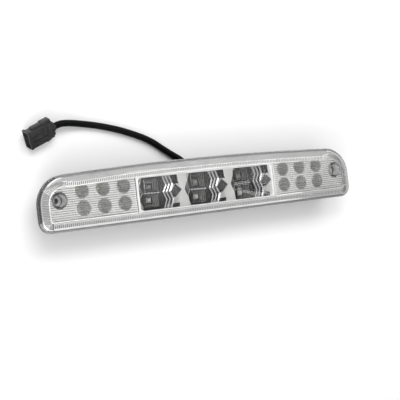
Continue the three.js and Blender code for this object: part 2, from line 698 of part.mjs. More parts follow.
addMesh('connector_housing', toGeometry(makeConnectorHousing()), materials.grey, connectorGroup);
addMesh('connector_boot', makeBoot(), materials.rubber, connectorGroup);
[-1, 0, 1].forEach((place, i) => {
  const middle = place * terminal.pitch;
  const end = mouthCavity.depth - gap;
  const blade = block(
    middle - terminal.v / 2, middle + terminal.v / 2, -terminal.w / 2, terminal.w / 2,
    end - terminal.length, end,
  );
  addMesh(`connector_terminal_${i + 1}`, toGeometry(blade), materials.brass, connectorGroup);
});
const lockEnd = mouthCavity.depth - gap;
addMesh('terminal_lock', toGeometry(block(
  -lock.v / 2, lock.v / 2, lock.offset - lock.w / 2, lock.offset + lock.w / 2, lockEnd - lock.length, lockEnd,
)), materials.grey, connectorGroup);

export default lamp;
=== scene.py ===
# Third brake light with two cargo lamps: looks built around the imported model.
# Shapes are drawn in millimetres and made metres when a piece is finished.
import math

import bmesh
import bpy
from mathutils import Matrix, Vector


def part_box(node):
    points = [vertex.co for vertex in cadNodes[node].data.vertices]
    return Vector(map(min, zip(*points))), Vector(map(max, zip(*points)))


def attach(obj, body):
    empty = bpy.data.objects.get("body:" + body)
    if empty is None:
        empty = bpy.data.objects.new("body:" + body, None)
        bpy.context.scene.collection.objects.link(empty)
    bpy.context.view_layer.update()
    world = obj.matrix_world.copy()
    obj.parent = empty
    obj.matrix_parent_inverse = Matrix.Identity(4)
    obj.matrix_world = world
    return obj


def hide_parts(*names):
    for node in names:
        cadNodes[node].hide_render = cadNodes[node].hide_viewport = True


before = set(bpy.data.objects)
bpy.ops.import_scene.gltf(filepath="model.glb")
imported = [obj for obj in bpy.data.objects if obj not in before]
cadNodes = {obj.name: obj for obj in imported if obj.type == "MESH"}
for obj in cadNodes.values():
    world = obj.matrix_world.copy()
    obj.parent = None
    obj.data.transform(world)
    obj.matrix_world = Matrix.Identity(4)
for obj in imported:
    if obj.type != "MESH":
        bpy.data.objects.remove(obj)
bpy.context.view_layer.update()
scene = bpy.context.scene
mm = 0.001

print("camera")
viewSettings = {
    "place": (-0.6381, -0.0052, 1.0857),
    "turnAcross": -30.924,
    "turnUp": -0.554,
    "roll": -6.631,
    "lens": 90.43,
}
cameraData = bpy.data.cameras.new("camera")
cameraData.lens = viewSettings["lens"]
cameraData.sensor_width = 36
cameraData.clip_start = 0.05
camera = bpy.data.objects.new("camera", cameraData)
camera.matrix_world = (
    Matrix.Translation(viewSettings["place"])
    @ Matrix.Rotation(math.radians(viewSettings["turnAcross"]), 4, "Y")
    @ Matrix.Rotation(math.radians(viewSettings["turnUp"]), 4, "X")
    @ Matrix.Rotation(math.radians(viewSettings["roll"]), 4, "Z")
)
scene.collection.objects.link(camera)
scene.camera = camera
scene.view_settings.view_transform = "Standard"
scene.view_settings.look = "None"


# Shader helpers


def addNode(tree, kind, **values):
    node = tree.nodes.new(kind)
    for key, value in values.items():
        if hasattr(node, key):
            setattr(node, key, value)
        else:
            node.inputs[key.replace("_", " ")].default_value = value
    return node


def mapRange(tree, source, low, high, toLow, toHigh):
    node = addNode(tree, "ShaderNodeMapRange")
    for name, value in (("From Min", low), ("From Max", high), ("To Min", toLow), ("To Max", toHigh)):
        node.inputs[name].default_value = value
    tree.links.new(source, node.inputs["Value"])
    return node.outputs["Result"]


def mathNode(tree, operation, first, second):
    node = addNode(tree, "ShaderNodeMath", operation=operation)
    for socket, value in zip(node.inputs, (first, second)):
        if isinstance(value, (int, float)):
            socket.default_value = value
        else:
            tree.links.new(value, socket)
    return node.outputs[0]


def newGroup(name, inputs, outputs):
    group = bpy.data.node_groups.new(name, "ShaderNodeTree")
    for label, kind, value in inputs:
        socket = group.interface.new_socket(label, in_out="INPUT", socket_type=kind)
        if value is not None:
            socket.default_value = value
    for label, kind in outputs:
        group.interface.new_socket(label, in_out="OUTPUT", socket_type=kind)
    start = group.nodes.new("NodeGroupInput")
    end = group.nodes.new("NodeGroupOutput")
    return group, start.outputs, end.inputs


def makeGrainGroup():
    # Moulded grain: a fine noise and a broad unevenness
    group, given, result = newGroup(
        "mouldedGrain",
        [("Vector", "NodeSocketVector", None), ("Scale", "NodeSocketFloat", 900.0),
         ("Dark", "NodeSocketColor", None), ("Light", "NodeSocketColor", None),
         ("Smooth", "NodeSocketFloat", 0.3), ("Rough", "NodeSocketFloat", 0.5)],
        [("Color", "NodeSocketColor"), ("Roughness", "NodeSocketFloat"), ("Height", "NodeSocketFloat")],
    )
    fine = addNode(group, "ShaderNodeTexNoise", Detail=3.0, Roughness=0.6)
    broad = addNode(group, "ShaderNodeTexNoise", Scale=22.0, Detail=4.0)
    group.links.new(given["Vector"], fine.inputs["Vector"])
    group.links.new(given["Scale"], fine.inputs["Scale"])
    group.links.new(given["Vector"], broad.inputs["Vector"])
    both = mathNode(group, "ADD", mathNode(group, "MULTIPLY", fine.outputs[0], 0.5),
                    mathNode(group, "MULTIPLY", broad.outputs[0], 0.5))
    spread = mapRange(group, both, 0.35, 0.65, 0.0, 1.0)
    mix = addNode(group, "ShaderNodeMix", data_type="RGBA")
    group.links.new(spread, mix.inputs["Factor"])
    group.links.new(given["Dark"], mix.inputs[6])
    group.links.new(given["Light"], mix.inputs[7])
    group.links.new(mix.outputs[2], result["Color"])
    span = mathNode(group, "SUBTRACT", given["Rough"], given["Smooth"])
    step = mathNode(group, "MULTIPLY", span, spread)
    group.links.new(mathNode(group, "ADD", given["Smooth"], step), result["Roughness"])
    group.links.new(fine.outputs[0], result["Height"])
    return group


def makeDustGroup():
    # Specks and faint wipe marks, as a mask
    group, given, result = newGroup(
        "dustAndWipes",
        [("Vector", "NodeSocketVector", None), ("Amount", "NodeSocketFloat", 0.5)],
        [("Mask", "NodeSocketFloat")],
    )
    stretch = addNode(group, "ShaderNodeMapping", Scale=(14.0, 90.0, 40.0))
    wipes = addNode(group, "ShaderNodeTexNoise", Scale=3.0, Detail=5.0)
    specks = addNode(group, "ShaderNodeTexNoise", Scale=420.0, Detail=1.0)
    group.links.new(given["Vector"], stretch.inputs["Vector"])
    group.links.new(stretch.outputs[0], wipes.inputs["Vector"])
    group.links.new(given["Vector"], specks.inputs["Vector"])
    lines = mapRange(group, wipes.outputs[0], 0.5, 0.75, 0.0, 0.6)
    dots = mapRange(group, specks.outputs[0], 0.68, 0.8, 0.0, 1.0)
    total = mathNode(group, "ADD", lines, dots)
    group.links.new(mathNode(group, "MULTIPLY", total, given["Amount"]), result["Mask"])
    return group


grainGroup = makeGrainGroup()
dustGroup = makeDustGroup()


def newMaterial(name):
    material = bpy.data.materials.new(name)
    material.use_nodes = True
    tree = material.node_tree
    shader = tree.nodes["Principled BSDF"]
    place = addNode(tree, "ShaderNodeTexCoord").outputs["Object"]
    return material, tree, shader, place


def plasticMaterial(name, dark, light, smooth, rough, scale=900.0, bump=0.15, depth=0.0001,
                    metallic=0.0, coat=0.0, specular=0.5, dust=0.0):
    # Moulded, plated or rubber surface with grain between two tones
    material, tree, shader, place = newMaterial(name)
    grain = addNode(tree, "ShaderNodeGroup", node_tree=grainGroup, Scale=scale, Dark=(*dark, 1),
                    Light=(*light, 1), Smooth=smooth, Rough=rough)
    tree.links.new(place, grain.inputs["Vector"])
    shader.inputs["Metallic"].default_value = metallic
    shader.inputs["Coat Weight"].default_value = coat
    shader.inputs["Coat Roughness"].default_value = 0.1
    shader.inputs["Specular IOR Level"].default_value = specular
    color = grain.outputs["Color"]
    if dust:
        specks = addNode(tree, "ShaderNodeGroup", node_tree=dustGroup, Amount=dust)
        tree.links.new(place, specks.inputs["Vector"])
        mix = addNode(tree, "ShaderNodeMix", data_type="RGBA")
        mix.inputs[7].default_value = (0.42, 0.41, 0.39, 1)
        tree.links.new(specks.outputs["Mask"], mix.inputs["Factor"])
        tree.links.new(color, mix.inputs[6])
        color = mix.outputs[2]
    tree.links.new(color, shader.inputs["Base Color"])
    tree.links.new(grain.outputs["Roughness"], shader.inputs["Roughness"])
    relief = addNode(tree, "ShaderNodeBump", Strength=bump, Distance=depth)
    tree.links.new(grain.outputs["Height"], relief.inputs["Height"])
    tree.links.new(relief.outputs[0], shader.inputs["Normal"])
    return material


def clearMaterial(name, color, smooth, rough, ior=1.49):
    # Clear plastic that lets the lamps' light reach what is behind it
    material, tree, shader, place = newMaterial(name)
    shader.inputs["Base Color"].default_value = (*color, 1)
    shader.inputs["Transmission Weight"].default_value = 1.0
    shader.inputs["IOR"].default_value = ior
    specks = addNode(tree, "ShaderNodeGroup", node_tree=dustGroup, Amount=0.6)
    tree.links.new(place, specks.inputs["Vector"])
    tree.links.new(mapRange(tree, specks.outputs[0], 0.0, 1.0, smooth, rough), shader.inputs["Roughness"])
    passing = addNode(tree, "ShaderNodeBsdfTransparent", Color=(*color, 1))
    rays = addNode(tree, "ShaderNodeLightPath")
    mix = addNode(tree, "ShaderNodeMixShader")
    output = tree.nodes["Material Output"]
    tree.links.new(rays.outputs["Is Shadow Ray"], mix.inputs[0])
    tree.links.new(shader.outputs[0], mix.inputs[1])
    tree.links.new(passing.outputs[0], mix.inputs[2])
    tree.links.new(mix.outputs[0], output.inputs["Surface"])
    return material


print("materials")
clearLens = clearMaterial("clearLens", (0.975, 0.975, 0.97), 0.01, 0.06)
ledClear = clearMaterial("ledClear", (0.97, 0.96, 0.94), 0.02, 0.08, 1.52)
ribbedBorder = plasticMaterial("ribbedBorder", (0.27, 0.27, 0.27), (0.31, 0.31, 0.31), 0.24, 0.34,
                               scale=2200.0, bump=0.04, metallic=0.3)
# darker grey: painted shade at rib feet, along flute edges, in a line along the arch and round the wells'
# floors
ribShadow = plasticMaterial("ribShadow", (0.13, 0.13, 0.13), (0.17, 0.17, 0.17), 0.24, 0.34,
                            scale=2200.0, bump=0.04, metallic=0.3)
# lighter grey: painted light on rib flanks, and the light lines painted grey beyond whiteLineEnd
ribPaintedLight = plasticMaterial("ribPaintedLight", (0.44, 0.44, 0.44), (0.5, 0.5, 0.5), 0.24, 0.34,
                           scale=2200.0, bump=0.04, metallic=0.2)
# white for lines, screw seats and the window frame, and painted light on the rib flanks along the arch
whiteAndPaintedLight = plasticMaterial("whiteAndPaintedLight", (0.74, 0.74, 0.74), (0.82, 0.82, 0.82), 0.2, 0.3,
                             scale=2200.0, bump=0.04, metallic=0.2)
wellFrost = plasticMaterial("wellFrost", (0.55, 0.55, 0.55), (0.65, 0.65, 0.65), 0.15, 0.3,
                            scale=700.0, bump=0.06)
silverWhite = plasticMaterial("silverWhite", (0.86, 0.86, 0.86), (0.92, 0.92, 0.915), 0.28, 0.38,
                              scale=2200.0, bump=0.04, metallic=0.5)
bowlSilver = plasticMaterial("bowlSilver", (0.58, 0.58, 0.58), (0.66, 0.66, 0.66), 0.22, 0.32,
                             scale=2200.0, bump=0.04, metallic=0.7)
darkChrome = plasticMaterial("darkChrome", (0.46, 0.46, 0.47), (0.54, 0.54, 0.55), 0.1, 0.17,
                             scale=1200.0, bump=0.02, metallic=1.0)
# darker copies of the chrome: painted shade inside the cups, less of it on the sloping steps so the rings show
cupChromePaintedShade = plasticMaterial("cupChromePaintedShade", (0.08, 0.08, 0.08), (0.12, 0.12, 0.12), 0.1, 0.18,
                            scale=1200.0, bump=0.02, metallic=1.0)
cupStepPaintedShade = plasticMaterial("cupStepPaintedShade", (0.24, 0.24, 0.24), (0.3, 0.3, 0.3), 0.1, 0.18,
                          scale=1200.0, bump=0.02, metallic=1.0)
# white for the painted highlights on the facets, and for the dashes
highlightAndDashWhite = plasticMaterial("highlightAndDashWhite", (0.7, 0.7, 0.7), (0.78, 0.78, 0.78), 0.3, 0.4,
                             scale=1200.0, bump=0.03, metallic=0.4)
plateauSilver = plasticMaterial("plateauSilver", (0.5, 0.5, 0.5), (0.56, 0.56, 0.55), 0.4, 0.5,
                                scale=1200.0, bump=0.03, metallic=0.6)
housingBlack = plasticMaterial("housingBlack", (0.012, 0.012, 0.013), (0.022, 0.022, 0.024),
                               0.38, 0.55, bump=0.3, dust=0.12)
gasketFoam = plasticMaterial("gasketFoam", (0.016, 0.016, 0.016), (0.045, 0.045, 0.045),
                             0.85, 0.98, scale=1500.0, bump=0.8, depth=0.0004)
rubberBlack = plasticMaterial("rubberBlack", (0.01, 0.01, 0.01), (0.02, 0.02, 0.02), 0.5, 0.7,
                              scale=1400.0, bump=0.3, dust=0.15)
connectorGrey = plasticMaterial("connectorGrey", (0.018, 0.018, 0.019), (0.03, 0.03, 0.031),
                                0.34, 0.5, scale=1600.0, bump=0.35, dust=0.08)
boardWhite = plasticMaterial("boardWhite", (0.68, 0.69, 0.66), (0.78, 0.78, 0.75), 0.3, 0.42,
                             scale=700.0, bump=0.06, coat=0.3)
ledBody = plasticMaterial("ledBody", (0.72, 0.71, 0.68), (0.82, 0.81, 0.78), 0.3, 0.4,
                          scale=1500.0, bump=0.08)
phosphor = plasticMaterial("phosphor", (0.72, 0.66, 0.42), (0.8, 0.75, 0.55), 0.5, 0.6,
                           scale=2600.0, bump=0.1)
ceramicBlack = plasticMaterial("ceramicBlack", (0.02, 0.02, 0.022), (0.04, 0.04, 0.042), 0.4, 0.5,
                               scale=2500.0, bump=0.1)
screwSteel = plasticMaterial("screwSteel", (0.5, 0.5, 0.51), (0.66, 0.66, 0.67), 0.2, 0.38,
                             scale=1800.0, bump=0.1, metallic=1.0)
terminalBrass = plasticMaterial("terminalBrass", (0.6, 0.43, 0.16), (0.78, 0.58, 0.25), 0.16, 0.32,
                                scale=1600.0, bump=0.08, metallic=1.0)
cableJacket = plasticMaterial("cableJacket", (0.003, 0.003, 0.0033), (0.006, 0.006, 0.0064), 0.34, 0.46,
                              scale=1200.0, bump=0.25, specular=0.07)


# Mesh helpers


def finishPiece(name, bm, materials, replaced=(), sharpAngle=30):
    bmesh.ops.scale(bm, vec=(mm, mm, mm), verts=bm.verts)
    mesh = bpy.data.meshes.new(name)
    bm.to_mesh(mesh)
    bm.free()
    for material in materials:
        mesh.materials.append(material)
    mesh.shade_smooth()
    mesh.set_sharp_from_angle(angle=math.radians(sharpAngle))
    piece = bpy.data.objects.new(name, mesh)
    scene.collection.objects.link(piece)
    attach(piece, "root")
    if replaced:
        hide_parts(*replaced)
    return piece


def fixNormals(bm):
    bmesh.ops.remove_doubles(bm, verts=bm.verts, dist=0.002)
    bmesh.ops.recalc_face_normals(bm, faces=bm.faces)


def addBlock(bm, low, high, bevel=0.0, material=0):
    low, high = Vector(low), Vector(high)
    made = bmesh.ops.create_cube(bm, size=1.0)["verts"]
    bmesh.ops.scale(bm, vec=high - low, verts=made)
    bmesh.ops.translate(bm, vec=(low + high) / 2, verts=made)
    faces = {f for v in made for f in v.link_faces}
    for face in faces:
        face.material_index = material
    if bevel:
        edges = {e for v in made for e in v.link_edges}
        bmesh.ops.bevel(bm, geom=list(edges), offset=bevel, offset_type="OFFSET", affect="EDGES",
                        segments=2, profile=0.5, material=-1)
    return made


def addTurned(bm, profile, place=(0, 0, 0), steps=32, material=0, turn=None):
    # A closed turned shape from (radius, height) points, round the Z axis
    verts = [bm.verts.new((radius, 0, height)) for radius, height in profile]
    edges = [bm.edges.new(pair) for pair in zip(verts, verts[1:])]
    if profile[0][0] > 1e-6 and profile[-1][0] > 1e-6:
        edges.append(bm.edges.new((verts[-1], verts[0])))
    before = set(bm.faces)
    bmesh.ops.spin(bm, geom=verts + edges, cent=(0, 0, 0), axis=(0, 0, 1), angle=2 * math.pi,
                   steps=steps, use_merge=True)
    faces = [f for f in bm.faces if f not in before]
    made = list({v for f in faces for v in f.verts})
    made = [v for v in made if v.is_valid]
    bmesh.ops.remove_doubles(bm, verts=made, dist=0.002)
    faces = [f for f in bm.faces if f not in before]
    made = list({v for f in faces for v in f.verts})
    for face in faces:
        face.material_index = material
    bmesh.ops.recalc_face_normals(bm, faces=faces)
    if turn:
        bmesh.ops.transform(bm, matrix=turn, verts=made)
    bmesh.ops.translate(bm, vec=place, verts=made)
    return made


def applyCut(piece, cutterMesh, operation, overlaps=False):
    # Joins or cuts with a second shape, then keeps the result as the piece's own mesh
    cutter = bpy.data.objects.new("cutter", cutterMesh)
    scene.collection.objects.link(cutter)
    change = piece.modifiers.new("change", "BOOLEAN")
    change.operation = operation
    change.solver = "EXACT"
    change.use_self = overlaps
    change.object = cutter
    graph = bpy.context.evaluated_depsgraph_get()
    result = bpy.data.meshes.new_from_object(piece.evaluated_get(graph))
    piece.modifiers.clear()
    old = piece.data
    piece.data = result
    bpy.data.meshes.remove(old)
    bpy.data.objects.remove(cutter)


def closeGaps(mesh):
    # Merges what a cut left double and closes the slits it left open
    bm = bmesh.new()
    bm.from_mesh(mesh)
    bmesh.ops.remove_doubles(bm, verts=bm.verts, dist=2e-6)
    bmesh.ops.dissolve_degenerate(bm, dist=1e-6, edges=bm.edges)
    bmesh.ops.holes_fill(bm, edges=[e for e in bm.edges if e.is_boundary], sides=0)
    bm.to_mesh(mesh)
    bm.free()


def meshFrom(bm, name):
    bmesh.ops.scale(bm, vec=(mm, mm, mm), verts=bm.verts)
    mesh = bpy.data.meshes.new(name)
    bm.to_mesh(mesh)
    bm.free()
    return mesh


# The lamp's outline

outlineShape = {
    "length": 440.0,
    "height": 69.5,
    "archRadius": 3890.0,
    "topCorner": 34.0,
    "bottomCorner": 14.0,
    "tightestCorner": 2.0,
    # rough length of each stretch, which sets how many points it gets
    "stretches": {"low": 22.0, "side": 22.0, "top": 50.0, "arch": 374.0, "bottom": 412.0},
}


def arcPoints(centreX, centreY, radius, start, end, count):
    return [
        (centreX + radius * math.cos(start + (end - start) * i / count),
         centreY + radius * math.sin(start + (end - start) * i / count))
        for i in range(count)
    ]


def linePoints(start, end, count):
    return [
        (start[0] + (end[0] - start[0]) * i / count, start[1] + (end[1] - start[1]) * i / count)
        for i in range(count)
    ]


def outline(inset, spacing):
    # Points round the lamp, moved in from the flange edge, the same number for every inset
    s = outlineShape
    half = s["length"] / 2 - inset
    bottom = -s["height"] / 2 + inset
    arch = s["archRadius"] - inset
    top = s["topCorner"] - inset
    low = max(s["bottomCorner"] - inset, s["tightestCorner"])
    archY = s["height"] / 2 - s["archRadius"]
    cornerX = half - top
    cornerY = archY + math.sqrt((arch - top) ** 2 - cornerX ** 2)
    turn = math.atan2(cornerY - archY, cornerX)
    quarter = math.pi / 2
    counts = {name: max(2, round(size / spacing)) for name, size in s["stretches"].items()}
    points = arcPoints(half - low, bottom + low, low, -quarter, 0, counts["low"])
    points += linePoints((half, bottom + low), (half, cornerY), counts["side"])
    points += arcPoints(cornerX, cornerY, top, 0, turn, counts["top"])
    points += arcPoints(0, archY, arch, turn, math.pi - turn, counts["arch"])
    points += arcPoints(-cornerX, cornerY, top, math.pi - turn, math.pi, counts["top"])
    points += linePoints((-half, cornerY), (-half, bottom + low), counts["side"])
    points += arcPoints(low - half, bottom + low, low, math.pi, 1.5 * math.pi, counts["low"])
    points += linePoints((low - half, bottom), (half - low, bottom), counts["bottom"])
    return points


def addLoop(bm, points, height):
    heights = height if isinstance(height, list) else [height] * len(points)
    verts = [bm.verts.new((x, y, z)) for (x, y), z in zip(points, heights)]
    return [bm.edges.new((verts[i - 1], verts[i])) for i in range(len(verts))]


def addBand(bm, lower, upper, material=0):
    made = bmesh.ops.bridge_loops(bm, edges=lower + upper)["faces"]
    for face in made:
        face.material_index = material
    return made


# Cable, with its boot, connector and grommet

print("cable")
cableSettings = {
    "diameter": 8.0,
    "exit": (-2.0, 21.2, 6.0),
    "heading": 125.0,
    "route": [
        (-8.2, 30.1, 6.0), (-10.3, 32.9, 5.9), (-12.9, 35.5, 5.6), (-16.1, 38.0, 5.0),
        (-22.6, 42.3, 4.3), (-29.1, 46.7, 4.1), (-35.7, 51.2, 4.1), (-43.4, 56.7, 4.1),
        (-51.2, 61.6, 4.1), (-59.0, 65.6, 4.1), (-66.8, 69.0, 4.1), (-82.5, 74.9, 4.1),
        (-98.0, 79.7, 4.1), (-110.0, 82.8, 4.1), (-121.0, 85.2, 4.2), (-131.0, 87.0, 4.5),
        (-142.0, 88.6, 5.5), (-152.0, 89.7, 7.4), (-162.0, 90.2, 9.4), (-170.0, 89.6, 10.4),
        (-176.8, 87.55, 10.5),
    ],
}


def makeCable():
    s = cableSettings
    curve = bpy.data.curves.new("cable", "CURVE")
    curve.dimensions = "3D"
    curve.bevel_depth = s["diameter"] / 2 * mm
    curve.bevel_resolution = 6
    curve.use_fill_caps = True
    curve.resolution_u = 6
    spline = curve.splines.new("BEZIER")
    spline.bezier_points.add(len(s["route"]) - 1)
    for point, place in zip(spline.bezier_points, s["route"]):
        point.co = Vector(place) * mm
        point.handle_left_type = point.handle_right_type = "AUTO"
    curve.materials.append(cableJacket)
    cable = bpy.data.objects.new("cable_jacket", curve)
    scene.collection.objects.link(cable)
    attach(cable, "root")
    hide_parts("cable")
    bpy.context.view_layer.update()
    length = spline.calc_length()
    print("cable length", round(length, 4))
    return cable, length


cable, cableLength = makeCable()

connectorSettings = {
    "mouth": (-212.3, 73.2, 10.5),
    "heading": 22.0,
    "roll": 26.5,
    "length": 29.0,
    "v": 23.4,
    "w": 13.0,
    "skin": 0.7,  # how far the shell lies inside its collar and rear band
    "cornerBevel": 1.3,
    "bandEdge": 0.9,  # keeps the lower corner of both bands off the floor
    "collar": 3.4,
    "rearBand": (7.2, 4.6),
    # width across v, width across w and depth of the mouth and of the space behind it
    "opening": (20.2, 10.4, 3.8),
    "cavity": (19.4, 8.0, 19.5),
    # place across v, start and end of each groove
    "grooves": ((2.9, 5.0, 13.0), (-2.7, 5.0, 24.0), (-8.0, 5.0, 10.0)),
    "grooveHalf": 0.9,
    "grooveDepth": 2.1,
    # low corner, high corner and bevel of the lock ridge on the upper edge, its thumb pad,
    # the two side rails and the three blocks of the cover over the wires
    "ribs": (
        ((8.0, 9.0, -3.4), (31.0, 13.2, 3.4), 0.5),
        ((21.0, 10.0, -4.4), (33.0, 14.2, 4.4), 0.9),
        ((6.0, 5.9, 5.2), (20.0, 6.9, 6.45), 0.2),
        ((6.0, -9.4, 5.2), (22.0, -8.4, 6.45), 0.2),
        ((28.0, -9.8, -5.4), (33.4, 10.2, 5.4), 0.7),
        ((33.0, -8.2, -4.6), (35.6, 8.4, 4.6), 0.8),
        ((29.6, -11.0, -3.0), (32.0, 11.6, 3.0), 0.4),
    ),
}


def connectorMatrix():
    # u runs from the mouth to the cable, v across and w up through the body
    s = connectorSettings
    return (
        Matrix.Translation(s["mouth"])
        @ Matrix.Rotation(math.radians(s["heading"]), 4, "Z")
        @ Matrix.Rotation(math.radians(s["roll"]), 4, "X")
    )


def makeConnector():
    s = connectorSettings
    long, halfV, halfW = s["length"], s["v"] / 2, s["w"] / 2
    skin, edge = s["skin"], s["bandEdge"]
    body = bmesh.new()
    addBlock(body, (skin / 2, skin - halfV, skin - halfW), (long - 0.4, halfV - skin, halfW - skin),
             s["cornerBevel"])
    piece = finishPiece("connector_body", body, [connectorGrey],
                        ["connector_housing"])
    extras = bmesh.new()
    addBlock(extras, (0.0, edge - halfV, -halfW), (s["collar"], halfV, halfW), 0.6)
    addBlock(extras, (long - s["rearBand"][0], edge - halfV, -halfW),
             (long - s["rearBand"][1], halfV, halfW), 0.4)
    for low, high, bevel in s["ribs"]:
        addBlock(extras, low, high, bevel)
    applyCut(piece, meshFrom(extras, "extras"), "UNION", True)
    tools = bmesh.new()
    for v, w, depth in (s["opening"], s["cavity"]):
        addBlock(tools, (-1.0, -v / 2, -w / 2), (depth, v / 2, w / 2), 0.8)
    for v, start, end in s["grooves"]:
        addBlock(tools, (start, v - s["grooveHalf"], halfW - s["grooveDepth"]),
                 (end, v + s["grooveHalf"], halfW + 2), 0.3)
    applyCut(piece, meshFrom(tools, "tools"), "DIFFERENCE", True)
    piece.data.transform(Matrix.Scale(1 / mm, 4))
    piece.data.transform(connectorMatrix())
    piece.data.transform(Matrix.Scale(mm, 4))
    piece.data.shade_smooth()
    piece.data.set_sharp_from_angle(angle=math.radians(35))
    return piece


connectorBody = makeConnector()

bootSettings = {"start": 33.5, "length": 4.6, "bore": 4.1, "wide": 5.2, "narrow": 4.7,
                "rings": 1, "ringDepth": 0.55}


def makeBoot():
    s = bootSettings
    profile = [(s["bore"], 0.0), (s["wide"], 0.0), (s["wide"], 1.4)]
    for i in range(s["rings"]):
        share = (i + 0.5) / s["rings"]
        radius = s["wide"] + (s["narrow"] - s["wide"]) * share
        z = 1.6 + share * (s["length"] - 2.4)
        low = radius - s["ringDepth"]
        profile += [(low, z - 0.7), (radius, z - 0.3), (radius, z + 0.4), (low, z + 0.8)]
    profile += [(s["narrow"], s["length"] - 0.5), (s["narrow"] - 0.4, s["length"]),
                (s["bore"], s["length"])]
    bm = bmesh.new()
    addTurned(bm, profile, turn=Matrix.Rotation(math.radians(90), 4, "Y"))
    bmesh.ops.translate(bm, vec=(s["start"], 0, 0), verts=bm.verts)
    bmesh.ops.transform(bm, matrix=connectorMatrix(), verts=bm.verts)
    fixNormals(bm)
    return finishPiece("connector_boot_ribbed", bm, [rubberBlack],
                       ["connector_boot"], 40)


boot = makeBoot()

# heights are along the cable from its exit, inside the wall below 0
grommetSettings = {"inside": -3.2, "wallFace": 4.6, "length": 10.2, "wide": 5.6, "narrow": 4.9,
                   "neck": 2.7, "rings": 3, "ringPitch": 1.25}


def makeGrommet():
    s = grommetSettings
    out, wide, end = s["wallFace"], s["wide"], s["length"]
    profile = [(0.0, s["inside"]), (s["neck"], s["inside"]), (s["neck"], out), (wide + 0.2, out),
               (wide + 0.2, out + 0.9), (wide - 0.2, out + 1.2)]
    for i in range(s["rings"]):
        z = out + 1.9 + i * s["ringPitch"]
        profile += [(wide - 0.9, z), (wide - 0.25 * i, z + 0.3), (wide - 0.25 * i, z + 0.75)]
    profile += [(s["narrow"], end), (cableSettings["diameter"] / 2, end + 0.3), (0.0, end + 0.3)]
    bm = bmesh.new()
    addTurned(bm, profile, turn=Matrix.Rotation(math.radians(-90), 4, "X"))
    bmesh.ops.rotate(bm, cent=(0, 0, 0), verts=bm.verts,
                     matrix=Matrix.Rotation(math.radians(cableSettings["heading"] - 90), 3, "Z"))
    bmesh.ops.translate(bm, vec=cableSettings["exit"], verts=bm.verts)
    fixNormals(bm)
    return finishPiece("cable_grommet_ribbed", bm, [rubberBlack],
                       ["cable_grommet"], 40)


makeGrommet()


# Lens

print("lens")
lensSettings = {
    "rimBottom": 38.3,
    "rimTop": 40.8,
    "face": 46.0,
    "wall": 2.4,
    "borderStart": 1.4,
    "borderWidth": 8.4,
    # the underside of the sloped border: first inset, rings, step inwards and rise
    "slope": (3.5, 7, 1.15, 0.465),
    "spacing": 0.6,
    "ribDepth": 0.6,
    # where the ribs start to narrow to a strip, and over what length
    "stripStart": 206.0,
    "stripBlend": 34.0,
    "endStart": 205.0,
    # the rim is dark beyond this x and above this y
    "darkRim": (-196.0, -22.0),
    # beyond this x the light lines are painted grey, where the light falls off
    "whiteLineEnd": 140.0,
    "cornerStart": (206.0, -20.0),
    "panelHalf": 26.5,
    "flutePitch": 2.5,
    "fluteDepth": 0.4,
    "fluteLine": 0.25,
    "panelStart": 99.0,
    "wellX": 195.3,
    "wellY": 1.2,
    "wellRadius": 7.0,
    "wellWall": 2.3,
    "wellSeat": 33.0,
    "wellFloor": 2.6,
    "holeRadius": 3.3,
}
clearSlot, borderSlot, frostSlot, whiteAndPaintedLightSlot, shadowSlot, paintedLightSlot, sealSlot = range(7)
lensMaterials = [clearLens, ribbedBorder, wellFrost, whiteAndPaintedLight, ribShadow, ribPaintedLight, housingBlack]


def stripShare(x, y):
    # 1 along the arch, where the ribs keep to a narrow inner strip, and 0 round the ends and below
    s = lensSettings
    return min(max((s["stripStart"] - abs(x)) / s["stripBlend"], 0.0), 1.0) if y > 0 else 0.0


def borderRing(spacing, insets, height, ring):
    # One ring of the underside, with its ribs
    s = lensSettings
    wave = (0.0, 0.75, 1.0, 0.75)
    points = []
    tops = []
    for i, (end, strip) in enumerate(zip(outline(insets[0], spacing), outline(insets[1], spacing))):
        share = stripShare(*end)
        # the ribs reach across these rings, only a few of them along the lower edge
        first, last = (3 + 6 * share, 10) if end[1] > 0 or abs(end[0]) > s["endStart"] else (4, 7)
        corner = end[1] < s["cornerStart"][1] and abs(end[0]) > s["cornerStart"][0]
        ribbed = first <= ring <= last and not corner
        points.append((end[0] + (strip[0] - end[0]) * share, end[1] + (strip[1] - end[1]) * share))
        tops.append(height - (s["ribDepth"] * wave[i % 4] if ribbed else 0.0))
    return points, tops


def splitFaces(bm, faces, place, direction):
    # Cuts these faces along a plane and gives back all of them
    edges = list({e for f in faces for e in f.edges})
    verts = list({v for f in faces for v in f.verts})
    cut = bmesh.ops.bisect_plane(bm, geom=list(faces) + edges + verts, dist=0.0001,
                                 plane_co=place, plane_no=direction)["geom"]
    return [g for g in cut if isinstance(g, bmesh.types.BMFace)]


def fluteFaces(bm, faces, pitch, depth, height):
    # Cuts one end panel into strips along the lamp and dishes them
    steps = 4
    low, high = -lensSettings["panelHalf"], lensSettings["panelHalf"]
    count = round((high - low) / pitch * steps)
    geom = list(faces)
    for i in range(1, count):
        y = low + (high - low) * i / count
        geom = splitFaces(bm, geom, (0, y, 0), (0, 1, 0))
    for vert in {v for f in geom for v in f.verts}:
        phase = (vert.co.y - low) / (high - low) * count / steps
        vert.co.z = height - depth * abs(math.sin(math.pi * phase))
    return geom


